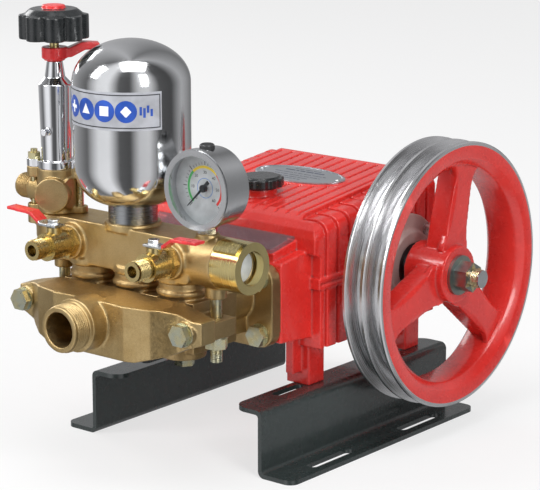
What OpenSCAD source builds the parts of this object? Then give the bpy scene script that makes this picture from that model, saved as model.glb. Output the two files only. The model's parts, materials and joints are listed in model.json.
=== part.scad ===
// Belt-driven triplex plunger pump for a pressure washer.
// X = 0 midway between the rails, +X towards the pulley. Y = 0 at the middle of
// the rails, -Y towards the brass head. Z = 0 on the floor.

/* [Rails] */
// Length of each rail
rail_length = 275; // [260:1:290]
// Height of each rail
rail_height = 60; // [60:1:60]
// Sheet thickness of the rails
rail_sheet = 4; // [3:0.5:5]
// Outer face of each rail web, from the centre line
rail_web_x = 99; // [97:1:100]
// Outer edge of each lower flange, from the centre line
rail_toe_x = 132.5; // [128:0.5:135]
// Inner edge of each upper flange, from the centre line
rail_lip_x = 66.6; // [64:0.2:68]
// Distance between the two floor slots of a rail
floor_slot_spacing = 132; // [120:1:140]
// End-to-end length of a floor slot
floor_slot_length = 60; // [40:1:62]
// Width of a floor slot
floor_slot_width = 10; // [8:0.5:11]

/* [Crank drive] */
// Crankshaft axis, along Y
crank_y = 66; // [66:1:66]
// Height of the crankshaft and plunger axes
crank_z = 150; // [150:1:150]
// Throw of the crank, half the stroke
throw = 8; // [6:0.5:8]
// Connecting rod length between centres
rod_length = 78; // [78:1:78]
// Distance between neighbouring plungers
plunger_pitch = 50; // [50:1:50]
// Plunger diameter
plunger_d = 18; // [16:0.5:18]

/* [Pulley] */
// Outside diameter of the pulley
pulley_d = 240; // [220:1:240]
// Width of the pulley rim
pulley_w = 42; // [42:1:42]
// Number of belt grooves
belt_grooves = 2; // [1:1:2]
// Angle of the first spoke from straight up, towards +Y
spoke_angle = 12; // [0:1:119]

/* [Head] */
// Centre plane of the valves, along Y
valve_y = -182; // [-182:1:-182]
// Air chamber diameter
chamber_d = 100; // [90:1:100]
// Gauge bezel diameter
gauge_d = 68; // [60:1:68]
// Pressure knob diameter
knob_d = 60; // [50:1:60]
// Outside diameter of the suction thread
inlet_d = 39; // [36:0.5:42]
// Outside diameter of the tap threads
outlet_d = 16.6; // [15:0.1:18]
// Outside diameter of the overflow thread
overflow_d = 21; // [19:0.5:22]

/* [Hidden] */
$fn = 48;

// Crankcase
case_half_w = 100;
case_top_half_w = 75;
case_front_y = -57;
case_rear_y = 114;
case_bottom_z = 97;
case_top_z = 219.2;
case_slope = 5.9;
boss_half_w = 90;
head_face_y = -100;
groove_pitch = 16.6;
groove_first_y = -49.3;
groove_count = 10;
fin_pitch = 12.5;
foot_x = 72;
foot_y = [-41.5, 103];
cap_x = 2;
cap_y = -20;
// Middle of the nameplate along the sloping crown, and its height above the fins
plate_y = 62;
plate_rise = 0.6;
crown_top = case_top_z * cos(case_slope);
bearing_x = 78;
bearing_w = 16;
cover_x = 98;
boss_r = 47.9;

// Crank train
phase = [0, 120, 240];
crosshead_r = 19.3;
crosshead_front = 32;
crosshead_rear = 18;
pin_r = 13;
journal_r = 15;
plunger_r = plunger_d / 2;
plunger_tip = 132;
gudgeon_y = crank_y - rod_length;

// Pulley
pulley_r = pulley_d / 2;
pulley_x = 120;

// Head
manifold_z = 199;
stud_x = 87;
ear_bolt_x = 91;
ear_bolt_z = 147;
tap_x = 57;
tap_y = -225;
glass_x = 98;
chamber_x = -5;
chamber_r = chamber_d / 2;
gauge_x = 80;
gauge_y = -184;
gauge_z = 261;
gauge_r = gauge_d / 2;
reg_x = -88;
reg_y = -188;
suction_seat_z = 133;
port_z = 126.5;
port_r = 5;
discharge_seat_z = 172;

function cylinder_x(i) = (i - 2) * plunger_pitch;
function crank_dy(i) = -throw * cos(phase[i - 1]);
function crank_dz(i) = throw * sin(phase[i - 1]);

// Cylinder along X from x0 to x1, about the line y = z = 0
module xcyl(r, x0, x1) {
    translate([x0, 0, 0]) rotate([0, 90, 0]) cylinder(r = r, h = x1 - x0);
}

// Cylinder along Y from y0 to y1, about the line x = z = 0
module ycyl(r, y0, y1) {
    translate([0, y0, 0]) rotate([-90, 0, 0]) cylinder(r = r, h = y1 - y0);
}

module zcyl(r, z0, z1) {
    translate([0, 0, z0]) cylinder(r = r, h = z1 - z0);
}

module ring(r_out, r_in, h) {
    difference() {
        cylinder(r = r_out, h = h);
        translate([0, 0, -1]) cylinder(r = r_in, h = h + 2);
    }
}

module box(x0, x1, y0, y1, z0, z1) {
    translate([x0, y0, z0]) cube([x1 - x0, y1 - y0, z1 - z0]);
}

// Rectangle with round corners, exact arcs
module round_rect(w, h, r) {
    square([w - 2 * r, h], center = true);
    square([w, h - 2 * r], center = true);
    for (sx = [-1, 1], sy = [-1, 1])
        translate([sx * (w / 2 - r), sy * (h / 2 - r)]) circle(r = r);
}

// Hexagon prism with its flats a distance af apart
module hex(af, h) {
    cylinder(r = af / sqrt(3), h = h, $fn = 6);
}

// Hexagon bolt: head from z = 0 up, washer below it, shank down
module hex_bolt(af, head, shank_r, shank) {
    hex(af, head);
    translate([0, 0, -1.6]) cylinder(r = af * 0.6, h = 1.7);
    translate([0, 0, -1.6 - shank]) cylinder(r = shank_r, h = shank + 0.1);
}

// Round-wire compression spring along Z with its lower end at z = 0
module spring(r, wire_r, height, turns) {
    per_turn = 16;
    sides = 6;
    rings = turns * per_turn;
    rise = height - 2 * wire_r;
    points = [for (k = [0:rings], s = [0:sides - 1])
        let (a = 360 * k / per_turn, b = 360 * s / sides, d = r + wire_r * cos(b))
        [d * cos(a), d * sin(a), wire_r + rise * k / rings + wire_r * sin(b)]];
    skin = [for (k = [0:rings - 1], s = [0:sides - 1])
        let (t = (s + 1) % sides, p = k * sides)
        [p + s, p + t, p + sides + t, p + sides + s]];
    first = [for (s = [sides - 1:-1:0]) s];
    last = [for (s = [0:sides - 1]) rings * sides + s];
    polyhedron(points = points, faces = concat(skin, [first], [last]), convexity = 8);
}

// ---- Frame ----

module rail_profile() {
    inner = rail_web_x - rail_sheet;
    bend = 6;
    difference() {
        union() {
            translate([inner, 0]) square([rail_toe_x - inner, rail_sheet]);
            translate([inner, 0]) square([rail_sheet, rail_height]);
            translate([rail_lip_x, rail_height - rail_sheet])
                square([rail_web_x - rail_lip_x, rail_sheet]);
        }
        difference() {
            translate([inner - 1, -1]) square([bend + 1, bend + 1]);
            translate([inner + bend, bend]) circle(r = bend);
        }
        difference() {
            translate([rail_web_x - bend, rail_height - bend]) square(bend + 1);
            translate([rail_web_x - bend, rail_height - bend]) circle(r = bend);
        }
    }
    difference() {
        translate([rail_web_x - 1, rail_sheet - 1]) square(4);
        translate([rail_web_x + 3, rail_sheet + 3]) circle(r = 3);
    }
    difference() {
        translate([inner - 3, rail_height - rail_sheet - 3]) square(4);
        translate([inner - 3, rail_height - rail_sheet - 3]) circle(r = 3);
    }
}

module slot(x, y, z, length, width) {
    run = length - width;
    translate([x, y, z]) {
        for (s = [-1, 1]) translate([0, s * run / 2, -5]) cylinder(r = width / 2, h = 10);
        translate([-width / 2, -run / 2, -5]) cube([width, run, 10]);
    }
}

// Cuts an outer flange corner to a radius
module corner_cut(x, y, sx, sy, r, z) {
    translate([x - sx * r, y - sy * r, z]) difference() {
        translate([sx > 0 ? 0 : -r - 1, sy > 0 ? 0 : -r - 1, 0]) cube([r + 1, r + 1, 12]);
        translate([0, 0, -1]) cylinder(r = r, h = 14);
    }
}

module rail() {
    half = rail_length / 2;
    difference() {
        translate([0, half, 0]) rotate([90, 0, 0]) linear_extrude(rail_length) rail_profile();
        for (s = [-1, 1]) {
            slot(119, s * floor_slot_spacing / 2, 0, floor_slot_length, floor_slot_width);
            slot(77, s * 75 + 1, rail_height, 38, 9);
            translate([foot_x, foot_y[(s + 1) / 2], 50]) cylinder(r = 5.5, h = 20);
            corner_cut(rail_toe_x, s * half, 1, s, 9, -2);
            corner_cut(rail_lip_x, s * half, -1, s, 14, rail_height - 8);
        }
    }
}

module right_rail() color("#1a2422") rail();

module left_rail() color("#1a2422") mirror([1, 0, 0]) rail();

module hex_bolts_m10() color("#b9b48c") {
    for (sx = [-1, 1], y = foot_y)
        translate([sx * foot_x, y, rail_height - rail_sheet - 1.6])
            rotate([180, 0, 0]) hex_bolt(17, 6.4, 5, 22);
    for (sx = [-1, 1], z = [118.6, 170])
        translate([sx * 76.5, -113.6, z]) rotate([90, 0, 0]) hex_bolt(17, 6.4, 5, 26);
    for (sx = [-1, 1])
        translate([sx * ear_bolt_x, -229.6, ear_bolt_z])
            rotate([90, 0, 0]) hex_bolt(17, 6.4, 5, 36);
}

// ---- Crankcase ----

// Solid along the sloping top: a wide shoulder and a narrower, higher crown
module sloped_solid(shoulder_w, shoulder_drop, crown_w, crown_drop, r) {
    rotate([case_slope, 0, 0]) translate([0, 180, 0]) rotate([90, 0, 0])
        linear_extrude(320) {
            translate([0, (crown_top - shoulder_drop) / 2])
                round_rect(2 * shoulder_w, crown_top - shoulder_drop, r);
            translate([0, (crown_top - crown_drop) / 2 + 20])
                square([2 * crown_w, crown_top - crown_drop - 40], center = true);
        }
}

// Side outline of the main housing, swept across the whole width
module side_outline() {
    rise = tan(case_slope);
    top = case_top_z;
    translate([-110, 0, 0]) rotate([90, 0, 90]) linear_extrude(220) polygon([
        [case_front_y, case_bottom_z], [case_rear_y, case_bottom_z],
        [case_rear_y, top + 105 * rise - 9], [105, top + 105 * rise],
        [-46, top - 46 * rise], [-56, top - 46 * rise - 5], [-63, 204],
        [-66, 197], [-66, 184], [case_front_y, 180]
    ]);
}

module front_boss() {
    translate([-boss_half_w, 0, 0]) rotate([90, 0, 90]) linear_extrude(2 * boss_half_w)
        polygon([[head_face_y, 110], [head_face_y, 179], [-97, 181], [-50, 188], [-50, 106]]);
    translate([-80, 0, 0]) rotate([90, 0, 90]) linear_extrude(160)
        polygon([[-98, 170], [-98, 188], [-62, 195], [-62, 170]]);
}

module foot(y) {
    box(59, 84, y - 11.5, y + 10.8, rail_height, case_bottom_z + 8);
    box(68, 76, y - 24, y + 10, rail_height + 12, case_bottom_z + 8);
}

module crankcase() color("#d0322b") difference() {
    union() {
        intersection() {
            sloped_solid(case_half_w, 4, case_top_half_w, 0, 13);
            side_outline();
        }
        front_boss();
        foot(foot_y[0]);
        foot(foot_y[1]);
        mirror([1, 0, 0]) foot(foot_y[0]);
        mirror([1, 0, 0]) foot(foot_y[1]);
        translate([0, crank_y, crank_z]) xcyl(boss_r, -cover_x, cover_x);
        for (s = [-1, 1])
            translate([s * 91, -10, 151]) box(-10, 10, -50, 124, 0, 10);
        translate([cap_x, cap_y, 205]) cylinder(r = 15, h = 18);
        rotate([case_slope, 0, 0]) translate([0, plate_y, crown_top - 3])
            ellipse_plate(104, 48, 3 + plate_rise);
    }
    // Seats of the bearing covers
    for (s = [-1, 1]) translate([0, crank_y, crank_z])
        xcyl(47.3, s > 0 ? cover_x : -106, s > 0 ? 106 : -cover_x);
    // Ribbed sides: grooves over the shoulder and down each side
    for (k = [0:groove_count - 1]) difference() {
        box(-110, 110, groove_first_y + k * groove_pitch - 1.75,
            groove_first_y + k * groove_pitch + 1.75, 90, 240);
        sloped_solid(case_half_w - 3.2, 7.2, case_top_half_w, -20, 10);
        for (s = [-1, 1]) translate([s * 91, -10, 151]) box(-10, 10, -50, 124, 0, 10);
        translate([0, crank_y, crank_z]) xcyl(boss_r, -cover_x, cover_x);
    }
    for (s = [-1, 1]) translate([s * 101, 0, 154.4]) box(-1.4, 1.4, -58, 112, 0, 3.2);
    // Long fins on the crown
    rotate([case_slope, 0, 0]) for (s = [-1, 1], k = [0:5])
        translate([s * (fin_pitch / 2 + k * fin_pitch) - 1.25, 0, 0])
            crown_groove(fin_pitch / 2 + k * fin_pitch);
    crankcase_inside();
}

// A crown groove leaves the filler boss and the nameplate pad standing
module crown_groove(x) {
    plate_half = x < 52 ? 24 * sqrt(1 - pow(x / 52, 2)) : 0;
    floor_z = crown_top - 2.4;
    if (x < 16) {
        box(0, 2.5, -34, cap_y + 1, floor_z, floor_z + 6);
        box(0, 2.5, cap_y + 40, plate_y - plate_half, floor_z, floor_z + 6);
    } else
        box(0, 2.5, -34, plate_y - plate_half, floor_z, floor_z + 6);
    box(0, 2.5, plate_y + plate_half, 124, floor_z, floor_z + 6);
}

module ellipse_plate(w, d, h) {
    linear_extrude(h) polygon([for (a = [0:7.5:352.5]) [w / 2 * cos(a), d / 2 * sin(a)]]);
}

module crankcase_inside() {
    // Crank chamber
    box(-86, 86, 6, 106, 108, 200);
    box(-68, 68, 105, 116, 116, 196);
    box(-70, 70, -48, 7, 172, 200);
    translate([0, crank_y, crank_z]) xcyl(34, -110, 110);
    // Crosshead guides
    for (i = [1:3]) translate([cylinder_x(i), 0, crank_z]) {
        ycyl(crosshead_r + 0.05, -54, 8);
        ycyl(13, -68, -53);
        ycyl(17, -102, -90);
    }
    // Drip well under the window
    box(-70, 70, -92, -66, 122, 200);
    // Filler neck
    translate([cap_x, cap_y, 180]) cylinder(r = 11, h = 50);
    // Threaded holes for cover, head and foot bolts
    for (s = [-1, 1]) {
        for (a = [45:90:315]) translate([0, crank_y + 41 * cos(a), crank_z + 41 * sin(a)])
            xcyl(3.4, s > 0 ? 84 : -99, s > 0 ? 99 : -84);
        for (z = [118.6, 170]) translate([s * 76.5, 0, z]) ycyl(5, -101, -84);
        for (y = foot_y) translate([s * foot_x, y, 59]) cylinder(r = 5, h = 20);
    }
    for (x = [-76, 0, 76], z = [110, 202]) translate([x, 0, z]) ycyl(3, 105, 115);
}

module rear_cover() color("#c82e28") difference() {
    union() {
        translate([0, 120, 156]) rotate([90, 0, 0]) linear_extrude(6) round_rect(168, 106, 12);
        translate([0, 124, 156]) rotate([90, 0, 0]) linear_extrude(5) round_rect(120, 64, 16);
        translate([0, 0, 138]) ycyl(17, 119, 127);
        translate([45, 0, 128]) ycyl(10, 119, 127);
    }
    for (x = [-76, 0, 76], z = [110, 202]) translate([x, 0, z]) ycyl(3.4, 110, 130);
    translate([0, 0, 138]) ycyl(12, 110, 130);
    translate([45, 0, 128]) ycyl(6, 110, 130);
}

module cover_bolts() color("#b4b4b0") {
    for (x = [-76, 0, 76], z = [110, 202])
        translate([x, 121.6, z]) rotate([-90, 0, 0]) hex_bolt(10, 4.2, 3, 14);
    for (s = [-1, 1], a = [45:90:315])
        translate([s * (cover_x + 7.6), crank_y + 41 * cos(a), crank_z + 41 * sin(a)])
            rotate([0, s * 90, 0]) hex_bolt(10, 5, 3.4, 18);
}

module bearing_cover(through) {
    rotate([0, 90, 0]) difference() {
        union() {
            translate([0, 0, cover_x]) cylinder(r = 47, h = 6);
            translate([0, 0, cover_x + 5]) cylinder(r1 = 34, r2 = 31.5, h = 7);
            translate([0, 0, bearing_x - 2]) cylinder(r = 33.9, h = cover_x - bearing_x + 3);
        }
        translate([0, 0, bearing_x - 3]) cylinder(r = 31, h = bearing_w + 3);
        translate([0, 0, bearing_x]) cylinder(r = 21, h = through ? 40 : 26);
        for (a = [45:90:315]) rotate([0, 0, a])
            translate([41, 0, cover_x - 1]) cylinder(r = 3.4, h = 10);
    }
}

module bearing_cover_right() color("#b3a09a") translate([0, crank_y, crank_z])
    bearing_cover(true);

module bearing_cover_left() color("#b3a09a") translate([0, crank_y, crank_z])
    mirror([1, 0, 0]) bearing_cover(false);

module bearing_outer_rings() color("#c9ccce") for (s = [-1, 1])
    translate([s > 0 ? bearing_x : -bearing_x - bearing_w, crank_y, crank_z])
        rotate([0, 90, 0]) difference() {
            cylinder(r = 31, h = bearing_w);
            translate([0, 0, -1]) cylinder(r = 26.4, h = bearing_w + 2);
        }

module oil_seals() color("#26282a") {
    translate([cover_x + 3, crank_y, crank_z]) rotate([0, 90, 0])
        ring(21, journal_r + 0.05, 7);
    for (i = [1:3]) translate([cylinder_x(i), -66, crank_z]) rotate([-90, 0, 0])
        ring(13, plunger_r + 0.05, 10);
}

module oil_level_glass() color("#d8d2a0") translate([0, 0, 138]) {
    ycyl(12, 121, 128);
    ycyl(15, 127, 129);
}

module drain_plug() color("#b4b4b0") translate([45, 127, 128]) rotate([-90, 0, 0]) {
    translate([0, 0, -8]) cylinder(r = 6, h = 9);
    hex(14, 6);
}

module plunger_window() color([0.8, 0.85, 0.88, 0.5]) translate([-78, 0, 0])
    rotate([90, 0, 90]) linear_extrude(156)
        polygon([[-98, 188], [-98, 191.2], [-66.2, 197.4], [-66.2, 194.2]]);

module nameplate() color("#c3c8cc") rotate([case_slope, 0, 0])
    translate([0, plate_y, crown_top + plate_rise]) ellipse_plate(100, 44, 0.8);

// ---- Head ----

module cylinder_block() color("#b08d4c") difference() {
    union() {
        // Flange
        translate([0, head_face_y, 143.5]) rotate([90, 0, 0])
            linear_extrude(12) round_rect(180, 73, 14);
        // Body and valve columns
        box(-74, 74, -196, -140, 119, 163);
        box(-62, 62, -141, -111, 119, 163);
        for (i = [1:3]) translate([cylinder_x(i), valve_y, 0]) {
            zcyl(20, 112, 178);
            zcyl(22, 167, 171);
        }
        // Ribs from body to flange
        for (x = [-25, 25]) translate([x - 4, 0, 0]) rotate([90, 0, 90])
            linear_extrude(8) polygon([[-111, 122], [-111, 176], [-142, 160], [-142, 122]]);
        // Ears for studs and suction bolts
        for (s = [-1, 1]) {
            translate([s * 86, -186, 144]) box(-14, 14, -16, 14, -7, 8);
            translate([s * stud_x, valve_y, 0]) zcyl(12, 136, 151);
        }
        for (i = [1:3]) translate([cylinder_x(i), 0, crank_z]) {
            ycyl(16.9, -101, -92);
            ycyl(20, -141, -110);
        }
    }
    for (i = [1:3]) {
        translate([cylinder_x(i), valve_y, 0]) {
            zcyl(12, suction_seat_z, 179);
            zcyl(9, 118, suction_seat_z + 1);
        }
        translate([cylinder_x(i), 0, crank_z]) {
            ycyl(plunger_r + 0.6, valve_y, -130);
            ycyl(15, -134, -91);
        }
        translate([cylinder_x(i), 0, port_z]) ycyl(port_r, -204, valve_y);
    }
    for (s = [-1, 1]) {
        translate([s * stud_x, valve_y, 0]) zcyl(5.3, 130, 160);
        translate([s * ear_bolt_x, 0, ear_bolt_z]) ycyl(5, -204, -192);
        for (z = [118.6, 170]) translate([s * 76.5, 0, z]) ycyl(5.3, -114, -99);
    }
}

// Plan outline of the suction manifold: ears at both ends, a fuller middle
module suction_plan() {
    side = [[104, -203], [104, -220], [98, -226], [83, -226], [64, -239], [40, -245]];
    polygon(concat(side, [for (k = [5:-1:0]) [-side[k][0], side[k][1]]]));
}

module suction_front() {
    half = [[0, 118], [48, 118], [76, 126], [92, 134], [106, 138],
        [106, 156], [92, 160], [70, 165], [0, 166]];
    polygon(concat(half, [for (k = [7:-1:1]) [-half[k][0], half[k][1]]]));
}

module suction_manifold() color("#b7944f") difference() {
    union() {
        intersection() {
            translate([0, 0, 110]) linear_extrude(60) suction_plan();
            translate([0, -196.1, 0]) rotate([90, 0, 0]) linear_extrude(60) suction_front();
            box(-120, 120, -260, -202.1, 100, 180);
        }
        translate([0, 0, 146]) {
            ycyl(23, -262, -236);
            ycyl(inlet_d / 2, -280, -261);
        }
        for (s = [-1, 1]) translate([s * ear_bolt_x, 0, ear_bolt_z]) ycyl(10, -228, -215);
    }
    translate([0, 0, 146]) ycyl(15, -281, -226);
    translate([0, -221, 138]) xcyl(11, -60, 60);
    for (i = [1:3]) translate([cylinder_x(i), 0, port_z]) ycyl(port_r, -224, -202);
    for (s = [-1, 1]) translate([s * ear_bolt_x, 0, ear_bolt_z]) ycyl(5.3, -232, -202);
}

module discharge_manifold() color("#b9974f") difference() {
    union() {
        translate([-3, 0, manifold_z]) translate([0, -162, 0]) rotate([90, 0, 0])
            linear_extrude(40) round_rect(154, 38, 5);
        for (i = [1:3]) translate([cylinder_x(i), valve_y, 0]) zcyl(22, 178, 184);
        translate([0, valve_y, manifold_z]) xcyl(22, 71, glass_x);
        translate([0, valve_y, manifold_z]) xcyl(19, 90, glass_x + 16);
        for (s = [-1, 1]) {
            translate([s * tap_x, 0, manifold_z]) ycyl(15, -208, -200);
            translate([s * stud_x, valve_y, 0]) zcyl(9, 168, 186);
        }
        // Ear for the regulator
        translate([reg_x, reg_y, 0]) {
            zcyl(19, 196, 218);
            reg_flange(206.5, 11);
        }
        box(reg_x - 12, -70, -200, -168, 178, 218);
        translate([gauge_x, gauge_y, 0]) zcyl(10, 214, 223);
        translate([chamber_x, valve_y, 0]) zcyl(24, 214, 221);
    }
    for (i = [1:3]) translate([cylinder_x(i), valve_y, 0]) zcyl(12, 177, 195);
    translate([0, valve_y, manifold_z]) xcyl(11, -92, glass_x + 8);
    translate([0, valve_y, manifold_z]) xcyl(15, glass_x + 4, glass_x + 17);
    translate([reg_x, reg_y, 0]) {
        zcyl(6, manifold_z, 219);
        rotate([0, 0, 23]) for (s = [-1, 1]) translate([s * 21, 0, 0]) zcyl(3, 205, 219);
    }
    translate([gauge_x, gauge_y, 0]) zcyl(5, manifold_z, 224);
    translate([chamber_x, valve_y, 0]) zcyl(8, manifold_z, 222);
    for (s = [-1, 1]) {
        translate([s * tap_x, 0, manifold_z]) ycyl(5, -209, valve_y);
        translate([s * stud_x, valve_y, 0]) zcyl(5, 167, 183);
    }
}

module manifold_studs() color("#a9ad8e") for (s = [-1, 1])
    translate([s * stud_x, valve_y, 0]) {
        difference() {
            union() {
                zcyl(5, 113, 183);
                translate([0, 0, 125]) hex(17, 9);
                zcyl(10, 134, 136);
            }
            zcyl(1, 112, 113);
        }
    }

module plunger_packings() color("#3a3430") for (i = [1:3])
    translate([cylinder_x(i), 0, crank_z]) rotate([-90, 0, 0])
        for (k = [0:3]) translate([0, 0, -134 + k * 7]) ring(15, plunger_r + 0.05, 6.6);

module gland_nuts() color("#c8a95a") for (i = [1:3])
    translate([cylinder_x(i), 0, crank_z]) rotate([-90, 0, 0]) {
        translate([0, 0, -106]) ring(15, plunger_r + 0.4, 14);
        difference() {
            translate([0, 0, -92]) hex(30, 9);
            translate([0, 0, -93]) cylinder(r = plunger_r + 0.4, h = 12);
        }
    }

// Valve seat with a three-post cage, and the disc with its spring
module valve_cage() {
    ring(12, 7, 5);
    translate([0, 0, 20]) ring(12, 5, 2.5);
    for (a = [0:120:240]) rotate([0, 0, a]) box(10.2, 11.75, -2, 2, 4, 21);
}

module valve_disc() {
    translate([0, 0, 5]) cylinder(r = 9, h = 2.6);
    translate([0, 0, 7]) cylinder(r = 3.4, h = 3);
    translate([0, 0, 7.8]) spring(6, 0.7, 8.6, 4);
}

module valve_seats() color("#9aa0a4") for (i = [1:3], z = [suction_seat_z, discharge_seat_z])
    translate([cylinder_x(i), valve_y, z]) valve_cage();

module suction_valve(i) color("#d0d3d6")
    translate([cylinder_x(i), valve_y, suction_seat_z]) valve_disc();

module discharge_valve(i) color("#d0d3d6")
    translate([cylinder_x(i), valve_y, discharge_seat_z]) valve_disc();

// ---- Air chamber and gauge ----

// Pressed shell: elliptical dome above, rounder base below
function shell_outline(grow) = concat(
    [[15, 236 - grow]],
    [for (a = [-75:15:0]) [16 + (chamber_r - 16 + grow) * cos(a), 270 + (34 + grow) * sin(a)]],
    [for (a = [0:10:90]) [(chamber_r + grow) * cos(a), 340 + (36 + grow) * sin(a)]]);

module air_chamber() color("#c4c8ca") translate([chamber_x, valve_y, 0]) difference() {
    rotate_extrude($fn = 96) polygon(concat(shell_outline(0), [[0, 236]]));
    rotate_extrude($fn = 96) polygon(concat(shell_outline(-2.5), [[0, 240]]));
    zcyl(8, 230, 245);
}

module chamber_collar() color("#4a4d4f") translate([chamber_x, valve_y, 221])
    difference() {
        cylinder(r = 21, h = 15);
        translate([0, 0, -1]) cylinder(r = 8, h = 20);
    }

module gauge_case() color("#c9cdd0") difference() {
    union() {
        translate([gauge_x, 0, gauge_z]) ycyl(gauge_r - 1, -196, -170);
        translate([gauge_x, gauge_y, 223]) hex(15, 3.8);
        translate([gauge_x, gauge_y, 0]) zcyl(4.9, 206, 230);
        translate([gauge_x, 0, 0]) translate([0, gauge_y, gauge_z + gauge_r - 4])
            cylinder(r = 6, h = 6);
    }
    translate([gauge_x, 0, gauge_z]) ycyl(gauge_r - 2.6, -197, -172);
}

module gauge_bezel() color("#d5d8da") translate([gauge_x, 0, gauge_z]) difference() {
    union() {
        ycyl(gauge_r - 0.6, -200, -198);
        ycyl(gauge_r, -198, -190);
    }
    ycyl(gauge_r - 5.5, -201, -189);
    ycyl(gauge_r - 1, -196, -189);
}

module gauge_dial() color("white") translate([gauge_x, 0, gauge_z]) difference() {
    ycyl(gauge_r - 2.6, -187, -186);
    ycyl(1.9, -188, -185);
}

module gauge_lens() color([0.9, 0.95, 0.98, 0.35]) translate([gauge_x, 0, gauge_z])
    ycyl(gauge_r - 2.7, -196, -194.4);

module gauge_pointer() color("#15171a") translate([gauge_x, 0, gauge_z]) {
    ycyl(1.5, -191, -180);
    ycyl(3.2, -190.6, -188);
    rotate([0, 225, 0]) translate([0, -190, 0]) rotate([90, 0, 0])
        linear_extrude(0.8) polygon([[-1.6, -9], [1.6, -9], [1.1, 0], [0.3, 23], [-0.3, 23], [-1.1, 0]]);
}

module sight_glass_nut() color("#cdb95c") translate([0, valve_y, manifold_z]) difference() {
    union() {
        xcyl(22, glass_x, glass_x + 28);
        for (a = [40, 220]) rotate([a, 0, 0])
            translate([0, 0, 21]) box(glass_x + 2, glass_x + 26, -5, 5, 0, 4);
    }
    xcyl(19, glass_x - 1, glass_x + 21);
    xcyl(14.5, glass_x + 20, glass_x + 29);
}

module sight_glass_lens() color([0.85, 0.87, 0.88, 0.6])
    translate([0, valve_y, manifold_z]) xcyl(18, glass_x + 16, glass_x + 21);

// ---- Taps ----

module tap_bodies() color("#c2ad55") for (s = [-1, 1]) difference() {
    translate([s * tap_x, 0, manifold_z]) difference() {
        union() {
            ycyl(12, -236, -214);
            translate([0, -215, 0]) rotate([-90, 0, 0]) hex(24, 7);
            ycyl(4.9, -215, -202);
            translate([0, tap_y, 0]) cylinder(r = 6.5, h = 16);
            ycyl(outlet_d / 2, -252, -235);
        }
        ycyl(3.6, -216, -201);
        ycyl(5, -253, -214);
        translate([0, tap_y, 0]) {
            sphere(r = 8.3);
            cylinder(r = 3.06, h = 17);
        }
    }
}

module tap_lever(side) translate([side * tap_x, tap_y, manifold_z]) {
    // Ball with its bore, stem, bent handle and nut
    difference() {
        sphere(r = 8);
        xcyl(5, -9, 9);
    }
    zcyl(3, 7, 21);
    translate([0, -6, 16.4]) rotate([90, 0, 0]) mirror([side < 0 ? 1 : 0, 0, 0]) translate([0, 0, -12])
        linear_extrude(12) polygon([[-7, 0], [12, 0], [24, 8], [50, 9], [50, 11.6], [23, 10.6], [11, 2.4], [-7, 2.4]]);
    translate([0, 0, 18.7]) hex(9, 4);
}

module tap_lever_left() color("#cc2a28") tap_lever(-1);

module tap_lever_right() color("#cc2a28") tap_lever(1);

// ---- Pressure regulator ----

module reg_flange(z, h) translate([0, 0, z]) {
    cylinder(r = 17, h = h);
    for (s = [-1, 1]) rotate([0, 0, 23]) {
        translate([s * 21, 0, 0]) cylinder(r = 6.5, h = h);
        translate([s > 0 ? 0 : -21, -6.5, 0]) cube([21, 13, h]);
    }
}

module regulator_body() color("#b98f45") translate([reg_x, reg_y, 0]) difference() {
    union() {
        zcyl(17, 218, 257);
        reg_flange(248, 9);
        reg_flange(218, 6);
        translate([0, 0, 236]) {
            xcyl(14, -24, 18);
            xcyl(overflow_d / 2, -42, -23);
            rotate([0, 0, 30]) ycyl(15, -22, 0);
        }
    }
    zcyl(6, 217, 240);
    zcyl(9.5, 239, 258);
    translate([0, 0, 236]) xcyl(7, -43, 0);
    rotate([0, 0, 23]) for (s = [-1, 1]) translate([s * 21, 0, 217]) cylinder(r = 3.2, h = 42);
}

module regulator_studs() color("#b7a860") translate([reg_x, reg_y, 0])
    rotate([0, 0, 23]) for (s = [-1, 1]) translate([s * 21, 0, 0]) {
        zcyl(3, 206, 272);
        translate([0, 0, 264]) hex(10, 5);
    }

module regulator_barrel() color("#c8ccd0") translate([reg_x, reg_y, 0]) difference() {
    union() {
        reg_flange(257, 7);
        translate([0, 0, 262]) cylinder(r1 = 13, r2 = 14.6, h = 68);
        translate([0, 0, 330]) cylinder(r1 = 14.6, r2 = 9, h = 6);
        translate([0, 0, 335]) cylinder(r1 = 9, r2 = 6.8, h = 15);
        for (a = [0, 180]) rotate([0, 0, a + 10]) translate([0, 0, 290]) ycyl(3, 10, 20);
    }
    zcyl(6, 256, 268);
    zcyl(10, 266, 327);
    zcyl(4.06, 320, 352);
    rotate([0, 0, 23]) for (s = [-1, 1]) translate([s * 21, 0, 255]) cylinder(r = 3.2, h = 20);
}

module regulator_spring() color("#8d9296") translate([reg_x, reg_y, 266]) spring(7.6, 1.4, 48, 9);

module regulator_valve() color("#d4d6d8") translate([reg_x, reg_y, 0]) {
    translate([0, 0, 240]) cylinder(r1 = 4.5, r2 = 9, h = 5);
    zcyl(9.42, 245, 252);
    zcyl(3.5, 251, 286);
}

module spring_seat() color("#b8a050") translate([reg_x, reg_y, 0]) {
    zcyl(9.7, 314, 318);
    zcyl(4, 317, 372);
}

module pressure_knob() color("#17191b") translate([reg_x, reg_y, 0]) {
    difference() {
        union() {
            translate([0, 0, 369]) linear_extrude(21) {
                circle(r = 22);
                for (a = [0:45:315]) rotate([0, 0, a]) translate([knob_d / 2 - 9, 0]) circle(r = 9);
            }
            translate([0, 0, 390]) cylinder(r1 = 26, r2 = 20, h = 5);
            zcyl(10, 395, 398);
        }
        zcyl(4.05, 368, 373);
    }
}

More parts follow.
